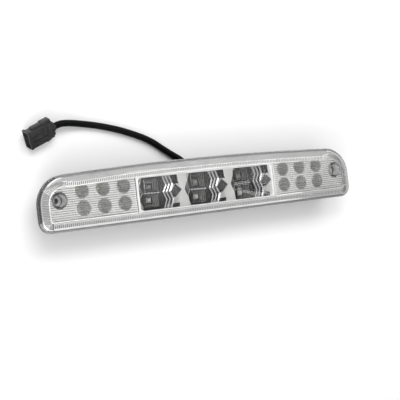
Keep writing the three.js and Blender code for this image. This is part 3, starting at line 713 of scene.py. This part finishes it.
def makeLens():
    s = lensSettings
    border = s["borderStart"] + s["borderWidth"]
    bm = bmesh.new()
    outside = [(0.0, s["rimBottom"]), (0.0, s["rimTop"] - 0.5), (0.15, s["rimTop"] - 0.15), (0.5, s["rimTop"]),
               (s["borderStart"] - 0.3, s["rimTop"] + 0.15), (s["borderStart"], s["rimTop"] + 0.4),
               (border - 0.5, s["face"] - 0.85), (border + 0.2, s["face"] - 0.45),
               (border + 1.0, s["face"] - 0.06), (border + 1.6, s["face"])]
    loops = [addLoop(bm, outline(inset, s["spacing"]), z) for inset, z in outside]
    for lower, upper in zip(loops, loops[1:]):
        addBand(bm, lower, upper)
    topFace = bmesh.ops.contextual_create(bm, geom=loops[-1])["faces"]
    inside = [((3.0, 3.0), s["rimBottom"]), ((3.0, 3.0), s["rimTop"] - 1.2)]
    first, rings, step, rise = s["slope"]
    for i in range(rings):
        inset = first + i * step
        inside.append(((inset, inset), s["rimTop"] - 0.75 + rise * (inset - first)))
    inner = s["face"] - s["wall"]
    inside += [((10.9, 10.9), inner - 0.1), ((11.4, 14.4), inner - 0.1), ((12.4, 15.6), inner)]
    innerLoops = []
    for ring, (insets, z) in enumerate(inside):
        points, tops = borderRing(s["spacing"], insets, z, ring)
        innerLoops.append(addLoop(bm, points, tops))
    for face in addBand(bm, loops[0], innerLoops[0], borderSlot):  # the rim's underside, on the flange
        middle = face.calc_center_median()
        if middle.x < s["darkRim"][0] and middle.y > s["darkRim"][1]:
            face.material_index = sealSlot  # the seal shows through here
    for i in range(len(innerLoops) - 1):
        level = (inside[i][1] + inside[i + 1][1]) / 2
        for face in addBand(bm, innerLoops[i], innerLoops[i + 1]):
            middle = face.calc_center_median()
            below = middle.y < 0 and abs(middle.x) < s["endStart"]
            along = stripShare(middle.x, middle.y)
            drop = level - middle.z
            face.material_index = borderSlot
            if i == 0:
                face.material_index = clearSlot
            # light lines round the window and below: white, painted light grey beyond whiteLineEnd where the
            # light falls off
            elif i == len(innerLoops) - 2 or (below and i in (2, 3, 8)):
                face.material_index = whiteAndPaintedLightSlot if middle.x < s["whiteLineEnd"] else paintedLightSlot
            elif drop > 0.02:  # a rib, with painted light on its flanks and painted shade at its foot
                light = whiteAndPaintedLightSlot if along > 0.5 else paintedLightSlot
                face.material_index = shadowSlot if drop > 0.4 else light
            elif i == 2 and along < 0.5:
                face.material_index = whiteAndPaintedLightSlot
            # a painted shadow line along the arch
            elif i == 8 and along > 0.5:
                face.material_index = shadowSlot
    # the underside of the face: a clear window between two fluted panels
    cap = bmesh.ops.contextual_create(bm, geom=innerLoops[-1])["faces"]
    cap[0].material_index = topFace[0].material_index = clearSlot
    for x in (-s["panelStart"], s["panelStart"]):
        cap = splitFaces(bm, cap, (x, 0, 0), (1, 0, 0))
    for sign in (-1, 1):
        panel = [f for f in cap if sign * f.calc_center_median().x > s["panelStart"]]
        for face in fluteFaces(bm, panel, s["flutePitch"], s["fluteDepth"], inner):
            # a painted shade line along the edge of each flute
            share = (face.calc_center_median().y + s["panelHalf"]) / s["flutePitch"] % 1.0
            if share < s["fluteLine"]:
                face.material_index = shadowSlot
    fixNormals(bm)
    lens = finishPiece("lens_clear", bm, lensMaterials, ["lens_cover"], 25)
    tubes = bmesh.new()
    bores = bmesh.new()
    seat, top, r, hole = s["wellSeat"], s["face"], s["wellRadius"], s["holeRadius"]
    outer, bottom = r + s["wellWall"], seat - s["wellFloor"]
    for sign in (-1, 1):
        place = (sign * s["wellX"], s["wellY"], 0)
        addTurned(tubes, [(0, bottom), (outer - 0.4, bottom), (outer, bottom + 0.4),
                          (outer, top - 1.2), (0, top - 1.2)], place, 48)
        # hole, flat seat for the screw's head, a small step and the chamfered mouth
        addTurned(bores, [(0, seat - 6), (hole, seat - 6), (hole, seat), (r - 1.2, seat),
                          (r - 1.0, seat + 1.6), (r - 0.3, seat + 2.0), (r, seat + 2.3),
                          (r, top - 0.6), (r + 0.5, top - 0.1), (r + 0.7, top + 1), (0, top + 1)],
                  place, 48)
    applyCut(lens, meshFrom(tubes, "tubes"), "UNION")
    applyCut(lens, meshFrom(bores, "bores"), "DIFFERENCE")
    closeGaps(lens.data)
    # each well's floor: a white seat, a ring of painted shade at the foot of its wall, and frost beyond
    for face in lens.data.polygons:
        x, y, z = face.center / mm
        away = math.hypot(abs(x) - s["wellX"], y - s["wellY"])
        if away < outer + 0.1 and z < s["face"] - s["wall"] - 0.6:
            face.material_index = whiteAndPaintedLightSlot if away < r - 1.3 else shadowSlot if away < r - 0.4 else frostSlot
    lens.data.shade_smooth()
    lens.data.set_sharp_from_angle(angle=math.radians(25))
    print("lens faces", len(lens.data.polygons))
    return lens


makeLens()


# Brake lamp reflector

print("brake reflector")
brakeSettings = {
    "pitch": 66.0,
    "end": 95.6,
    "bottom": -22.9,
    "top": 18.1,
    "rows": (-10.9, 8.2),
    "floor": 17.5,
    "plate": 42.1,
    "ridge": 33.0,
    "ridgeTop": 41.5,
    "wall": 0.6,
    "cupRim": 12.5,
    # half width, half height and level of each ring on the way down a cup
    "cupRings": ((9.9, 9.0, 17.5), (9.5, 8.6, 16.7), (8.7, 7.9, 16.3), (8.2, 7.4, 14.9), (7.4, 6.7, 14.5),
                 (6.9, 6.2, 13.0), (6.1, 5.5, 12.6), (5.5, 5.0, 11.1), (4.6, 4.3, 10.7), (3.4, 3.4, 9.1)),
    # lines along the reflector from its lower edge to its upper one, and their distance from its middle
    "levels": ("end", "outer", "row", "facet", "middle", "facet", "row", "outer", "end"),
    "offsets": (-21.55, -15.5, -9.55, -8.0, 0.0, 8.0, 9.55, 14.5, 19.45),
    "swing": {"end": 0.0, "outer": 1.9, "row": 3.9, "facet": 3.25, "middle": 0.0},
    "leftCrest": 3.0,
    # facets given a painted highlight, as ranges of y from the middle of a unit
    "brightFacets": ((0.5, 5.5), (-14.0, -5.0)),
    "dashes": 5,
    "dashPitch": 4.6,
    "dashHalf": (1.7, 0.75),
    # distance from the lamps and height at each terrace, before the swing
    "terraces": ((12.9, 17.6), (13.7, 20.9), (15.2, 21.5), (16.0, 24.9), (17.5, 25.5), (18.3, 29.2),
                 (19.9, 30.0)),
    # low corner, high corner and crest edge beyond the terraces
    "facets": {
        "middle": ((20.6, 30.4), (29.4, 41.2), (29.4, 41.2)),
        "facet": ((24.2, 34.9), (24.2, 34.9), (26.4, 41.2)),
        "row": ((24.5, 36.0), (24.5, 36.0), (25.2, 41.2)),
        "outer": ((23.4, 36.4), (23.4, 36.4), (24.9, 41.2)),
        "end": ((22.4, 36.4), (22.4, 36.4), (24.4, 41.2)),
    },
}


def addFlank(bm, middleX, sign, reach):
    # Terraces, diamond and crest from one pair of lamps to the ridge beside it
    s = brakeSettings
    middleY = sum(s["rows"]) / 2
    stations = 1 + len(s["terraces"]) + 4
    before = set(bm.verts)
    bmesh.ops.create_grid(bm, x_segments=stations - 1, y_segments=len(s["levels"]) - 1, size=1.0)
    made = sorted((v for v in bm.verts if v not in before),
                  key=lambda v: (round(v.co.y, 4), round(v.co.x, 4)))
    for row, (level, offset) in enumerate(zip(s["levels"], s["offsets"])):
        swing = s["swing"][level]
        line = [(s["cupRim"], s["floor"])]
        line += [(x + swing, z) for x, z in s["terraces"]]
        line += [(x + (s["leftCrest"] if sign < 0 else 0.0), z) for x, z in s["facets"][level]]
        line += [(reach, s["ridgeTop"])]
        for i, (x, z) in enumerate(line):
            vert = made[row * stations + i]
            vert.co = (middleX + sign * min(x, reach), middleY + offset, z)


def addCup(bm, middleX, row):
    # Square stepped cup round one lamp
    s = brakeSettings
    middleY = sum(s["rows"]) / 2
    low, high = (s["bottom"], middleY) if row == 0 else (middleY, s["top"])
    corners = [bm.verts.new((middleX + x, y, s["floor"])) for x, y in
               ((-s["cupRim"], low), (s["cupRim"], low), (s["cupRim"], high), (-s["cupRim"], high))]
    face = bm.faces.new(corners)
    lampY = s["rows"][row]
    face.normal_update()
    for halfX, halfY, z in s["cupRings"]:
        bmesh.ops.inset_region(bm, faces=[face], thickness=0.3, use_boundary=True, use_even_offset=True)
        centre = face.calc_center_median()
        for vert in face.verts:
            right = 1 if vert.co.x > centre.x else -1
            up = 1 if vert.co.y > centre.y else -1
            vert.co = (middleX + right * halfX, lampY + up * halfY, z)
    bm.faces.remove(face)


def isDiamond(face):
    # The dark sloping diamond between two pairs of lamps
    return 0.5 < abs(face.normal.z) < 0.75 and abs(face.normal.y) < 0.3


def windowPoints(inset, radius):
    # The window's outline, moved in by the inset
    s = brakeSettings
    right, top, low = s["end"] - inset, s["top"] - inset, s["bottom"] + inset
    points = []
    for x, y, start in ((right - radius, top - radius, 0), (radius - right, top - radius, 1),
                        (radius - right, low + radius, 2), (right - radius, low + radius, 3)):
        end = (start + 1) * math.pi / 2
        points += arcPoints(x, y, radius, start * math.pi / 2, end, 10)
        points.append((x + radius * math.cos(end), y + radius * math.sin(end)))
    return points


chromeSlot, plateauSlot, frameSlot, cupShadeSlot, highlightAndDashSlot, stepShadeSlot = range(6)
reflectorMaterials = [darkChrome, plateauSilver, whiteAndPaintedLight, cupChromePaintedShade, highlightAndDashWhite, cupStepPaintedShade]


def makeBrakeReflector():
    s = brakeSettings
    units = (-s["pitch"], 0.0, s["pitch"])
    middleY = sum(s["rows"]) / 2
    bm = bmesh.new()
    for middleX in units:
        for sign in (-1, 1):
            isEnd = abs(middleX + sign * s["pitch"]) > s["pitch"]
            addFlank(bm, middleX, sign, s["end"] - s["pitch"] if isEnd else s["ridge"])
        for row in (0, 1):
            addCup(bm, middleX, row)
    bmesh.ops.remove_doubles(bm, verts=bm.verts, dist=0.01)
    bmesh.ops.dissolve_degenerate(bm, dist=0.01, edges=bm.edges)
    bmesh.ops.recalc_face_normals(bm, faces=bm.faces)
    if sum(f.normal.z for f in bm.faces) < 0:
        bmesh.ops.reverse_faces(bm, faces=bm.faces)
    # walls up to the window frame
    rim = [e for e in bm.edges if e.is_boundary and all(
        abs(abs(v.co.x) - s["end"]) < 0.02 or abs(v.co.y - s["top"]) < 0.02
        or abs(v.co.y - s["bottom"]) < 0.02 for v in e.verts)]
    made = bmesh.ops.extrude_edge_only(bm, edges=rim)["geom"]
    for vert in [g for g in made if isinstance(g, bmesh.types.BMVert)]:
        vert.co.z = s["plate"] - 0.3
    bmesh.ops.recalc_face_normals(bm, faces=bm.faces)
    if sum(f.normal.z * f.calc_area() for f in bm.faces) < 0:
        bmesh.ops.reverse_faces(bm, faces=bm.faces)
    bmesh.ops.solidify(bm, geom=bm.faces, thickness=s["wall"])
    for face in bm.faces:
        middle = face.calc_center_median()
        face.material_index = chromeSlot
        unit = min(units, key=lambda x: abs(middle.x - x))
        across, up, tilt = middle.x - unit, middle.y - middleY, abs(face.normal.z)
        catches = any(low < up < high for low, high in s["brightFacets"])
        if tilt > 0.95 and middle.z > s["ridgeTop"] - 1:
            face.material_index = plateauSlot
        # inside the cups: painted shade, lighter on the sloping steps than on the treads and walls
        elif abs(across) < s["cupRim"] + 2 and middle.z < s["floor"] + 0.3:
            face.material_index = cupShadeSlot if tilt > 0.97 or tilt < 0.7 else stepShadeSlot
        # a painted highlight on the facets beyond the terraces
        elif across > 21 and middle.z > 31 and catches and not isDiamond(face):
            face.material_index = highlightAndDashSlot
    # white frame with rounded corners round the window
    frameLoops = []
    for inset, radius, z in ((1.0, 5.0, s["plate"] - 1.0), (-1.9, 1.5, s["plate"] - 1.0),
                             (-1.9, 1.5, s["plate"]), (0.8, 5.2, s["plate"]), (1.0, 5.0, s["plate"] - 0.2)):
        frameLoops.append(addLoop(bm, windowPoints(inset, radius), z))
    for i, loop in enumerate(frameLoops):
        addBand(bm, frameLoops[i - 1], loop, frameSlot)
    # dashes on the divider between the two rows
    halfX, halfY = s["dashHalf"]
    for middleX in units:
        for i in range(s["dashes"]):
            x = middleX + (i - (s["dashes"] - 1) / 2) * s["dashPitch"]
            addBlock(bm, (x - halfX, middleY - halfY, s["floor"] - 0.3),
                     (x + halfX, middleY + halfY, s["floor"] + 0.9), 0.35, highlightAndDashSlot)
    return finishPiece("brake_reflector_chrome", bm, reflectorMaterials,
                       ["brake_reflector"], 8)


makeBrakeReflector()

brakeLedSettings = {"half": 2.5, "body": 1.4, "domeRadius": 2.2, "domeStart": 1.7, "ringRadius": 3.1,
                    "legY": 1.5, "legHalf": (0.35, 0.4)}


def makeBrakeLed(number):
    # Square body with a clear dome, a metal ring and four legs
    s = brakeLedSettings
    node = "brake_led_%d" % number
    low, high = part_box(node)
    x, y = ((low + high) / 2 / mm).xy
    bottom, top = low.z / mm, high.z / mm
    half, radius, start = s["half"], s["domeRadius"], bottom + s["domeStart"]
    face = bottom + s["body"]
    bm = bmesh.new()
    addBlock(bm, (x - half, y - half, bottom), (x + half, y + half, face), 0.3)
    dome = [(0, face - 0.1), (radius, face - 0.1), (radius, start)]
    for i in range(1, 8):
        angle = i * math.pi / 16
        dome.append((radius * math.cos(angle), start + (top - start) * math.sin(angle)))
    dome.append((0, top))
    addTurned(bm, dome, (x, y, 0), 24, material=1)
    ring = [(half, face), (s["ringRadius"], face), (s["ringRadius"], start), (half, start + 0.5)]
    addTurned(bm, ring, (x, y, 0), 32, material=2)
    legX, legY = s["legHalf"]
    for sideX in (-half, half):
        for sideY in (-s["legY"], s["legY"]):
            addBlock(bm, (x + sideX - legX, y + sideY - legY, bottom - 0.2),
                     (x + sideX + legX, y + sideY + legY, bottom + 0.3), 0.08, 2)
    finishPiece("brake_led_lamp_%d" % number, bm, [ledBody, ledClear, screwSteel],
                [node], 35)


for ledNumber in range(1, 7):
    makeBrakeLed(ledNumber)


# Cargo lamps

print("cargo lamps")
cargoSettings = {
    "columns": (113.8, 140.1, 166.4),
    "rows": (-10.35, 9.75),
    "plateInset": 10.6,
    "plateStart": 98.6,
    "plateTop": 42.1,
    "thickness": 1.5,
    "bowlRadius": 8.2,
    "bowlBottom": 27.2,
    "holeRadius": 3.6,
    "bowlWall": 1.2,
    "flutes": 0.5,
    "cut": (38.0, 44.0),  # heights between which bowls and wells pass through the plate
}


def makeCargoReflector(side, sign):
    s = cargoSettings
    bm = bmesh.new()
    loops = [addLoop(bm, outline(s["plateInset"] + more, 1.5), z) for more, z in
             ((0, s["plateTop"] - s["thickness"]), (0, s["plateTop"] - 0.3), (0.3, s["plateTop"]))]
    for lower, upper in zip(loops, loops[1:]):
        addBand(bm, lower, upper)
    bmesh.ops.contextual_create(bm, geom=loops[0])
    bmesh.ops.contextual_create(bm, geom=loops[-1])
    fixNormals(bm)
    everything = list(bm.verts) + list(bm.edges) + list(bm.faces)
    bmesh.ops.bisect_plane(bm, geom=everything, dist=0.0001, plane_co=(sign * s["plateStart"], 0, 0),
                           plane_no=(-sign, 0, 0), clear_outer=True)
    bmesh.ops.holes_fill(bm, edges=[e for e in bm.edges if e.is_boundary], sides=0)
    top = [f for f in bm.faces if f.normal.z > 0.9 and f.calc_center_median().z > s["plateTop"] - 0.05]
    fluteFaces(bm, top, lensSettings["flutePitch"], s["flutes"], s["plateTop"])
    fixNormals(bm)
    plate = finishPiece("cargo_plate_" + side, bm, [silverWhite, bowlSilver],
                        ["cargo_reflector_" + side], 25)
    cutters = bmesh.new()
    w = lensSettings
    holes = [(sign * x, y, s["bowlRadius"] + 0.4) for x in s["columns"] for y in s["rows"]]
    holes.append((sign * w["wellX"], w["wellY"], w["wellRadius"] + w["wellWall"] + 0.5))
    low, high = s["cut"]
    for x, y, radius in holes:
        addTurned(cutters, [(0, low), (radius, low), (radius, high), (0, high)], (x, y, 0), 48)
    applyCut(plate, meshFrom(cutters, "cutters"), "DIFFERENCE")
    bowls = bmesh.new()
    bowls.from_mesh(plate.data)
    bmesh.ops.scale(bowls, vec=(1 / mm,) * 3, verts=bowls.verts)
    depth = s["plateTop"] - s["bowlBottom"]
    for x in s["columns"]:
        for y in s["rows"]:
            inner = []
            for i in range(9):
                share = i / 8
                radius = s["holeRadius"] + (s["bowlRadius"] - s["holeRadius"]) * math.sqrt(share)
                inner.append((radius, s["bowlBottom"] + depth * share))
            outer = [(s["bowlRadius"] + 0.7, s["plateTop"] + 0.25), (s["bowlRadius"] + 0.9, s["plateTop"])]
            outer += [(radius + s["bowlWall"], z) for radius, z in reversed(inner[:-1])]
            addTurned(bowls, inner + outer, (sign * x, y, 0), 40, material=1)
    mesh = plate.data
    bmesh.ops.scale(bowls, vec=(mm,) * 3, verts=bowls.verts)
    bowls.to_mesh(mesh)
    bowls.free()
    closeGaps(mesh)
    mesh.shade_smooth()
    mesh.set_sharp_from_angle(angle=math.radians(25))
    return plate


makeCargoReflector("left", -1)
makeCargoReflector("right", 1)

cargoLedSettings = {"half": 2.2, "body": 1.2, "dome": ((1.75, -0.1), (1.7, 0.3), (1.3, 0.8))}


def makeCargoLed(side, number):
    # Square body with a low yellow dome
    s = cargoLedSettings
    node = "cargo_led_%s_%d" % (side, number)
    low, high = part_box(node)
    x, y = ((low + high) / 2 / mm).xy
    bottom, top, half = low.z / mm, high.z / mm, s["half"]
    face = bottom + s["body"]
    bm = bmesh.new()
    addBlock(bm, (x - half, y - half, bottom), (x + half, y + half, face), 0.25)
    dome = [(0, face - 0.1)] + [(radius, face + up) for radius, up in s["dome"]]
    dome += [(0.7, top - 0.1), (0, top)]
    addTurned(bm, dome, (x, y, 0), 20, material=1)
    finishPiece("cargo_led_lamp_%s_%d" % (side, number), bm, [ledBody, phosphor],
                [node], 35)


for ledSide in ("left", "right"):
    for ledNumber in range(1, 7):
        makeCargoLed(ledSide, ledNumber)


# CAD nodes that keep their shape and get a finish

print("finishes")
finishes = {
    "rear_gasket": gasketFoam,
    "housing_shell": housingBlack,
    "brake_led_board": boardWhite,
    "cargo_led_board_left": boardWhite,
    "cargo_led_board_right": boardWhite,
    "vent_cap": rubberBlack,
    "terminal_lock": rubberBlack,
    "lead_wire_brake": rubberBlack,
    "lead_wire_cargo_left": rubberBlack,
    "lead_wire_cargo_right": rubberBlack,
}
for nodeName, node in cadNodes.items():
    finish = finishes.get(nodeName)
    if nodeName.startswith("connector_terminal"):
        finish = terminalBrass
    if "screw" in nodeName:
        finish = screwSteel
    if "resistor" in nodeName:
        finish = ceramicBlack
    if finish:
        node.data.materials.clear()
        node.data.materials.append(finish)


# Floor, lights and world

print("studio")
studioSettings = {
    "floor": (0.94, 0.94, 0.94),
    "floorHalf": 6.0,
    # place, target, width, depth and power of each soft light
    "lights": {
        "key": ((-0.35, 0.75, 1.05), (-0.05, 0, 0), 0.9, 0.5, 6.0),
        "fill": ((-0.8, -0.9, 0.8), (0, 0, 0), 0.9, 0.6, 7.0),
        "back": ((0.75, 0.75, 0.9), (0, 0, 0), 0.9, 0.5, 5.0),
    },
    # the sky fades from bright to dim over these X values, and down to the horizon over these Z
    "skyX": (0.28, 0.5),
    "skyZ": (0.34, 0.6),
    "bright": 1.0,
    "dim": 0.1,
    "horizon": 0.16,
}


def makeFloor():
    bm = bmesh.new()
    bmesh.ops.create_grid(bm, x_segments=1, y_segments=1, size=studioSettings["floorHalf"])
    mesh = bpy.data.meshes.new("floor")
    bm.to_mesh(mesh)
    bm.free()
    floor = bpy.data.objects.new("floor", mesh)
    material, tree, shader, place = newMaterial("floorPaper")
    shader.inputs["Base Color"].default_value = (*studioSettings["floor"], 1)
    shader.inputs["Roughness"].default_value = 0.9
    mesh.materials.append(material)
    scene.collection.objects.link(floor)


makeFloor()


def addSoftbox(name, place, target, sizeX, sizeY, power):
    data = bpy.data.lights.new(name, "AREA")
    data.shape = "RECTANGLE"
    data.size, data.size_y = sizeX, sizeY
    data.energy = power
    light = bpy.data.objects.new(name, data)
    light.location = place
    light.rotation_euler = (Vector(target) - Vector(place)).to_track_quat("-Z", "Y").to_euler()
    scene.collection.objects.link(light)


for lightName, lightValues in studioSettings["lights"].items():
    addSoftbox(lightName, *lightValues)


def makeWorld():
    # White overhead, and dark where the lens would mirror it into the window
    s = studioSettings
    world = bpy.data.worlds.new("studio")
    world.use_nodes = True
    tree = world.node_tree
    back = tree.nodes["Background"]
    back.inputs["Color"].default_value = (1, 1, 1, 1)
    way = addNode(tree, "ShaderNodeTexCoord").outputs["Generated"]
    parts = addNode(tree, "ShaderNodeSeparateXYZ")
    tree.links.new(way, parts.inputs[0])
    slope = mapRange(tree, parts.outputs["X"], *s["skyX"], s["bright"], s["dim"])
    low = mapRange(tree, parts.outputs["Z"], *s["skyZ"], s["horizon"], 1.0)
    rays = addNode(tree, "ShaderNodeLightPath")
    mix = addNode(tree, "ShaderNodeMix", data_type="FLOAT")
    mix.inputs["B"].default_value = 1.0
    tree.links.new(rays.outputs["Is Camera Ray"], mix.inputs["Factor"])
    tree.links.new(mathNode(tree, "MULTIPLY", slope, low), mix.inputs["A"])
    tree.links.new(mix.outputs["Result"], back.inputs["Strength"])
    scene.world = world


makeWorld()

print("done")
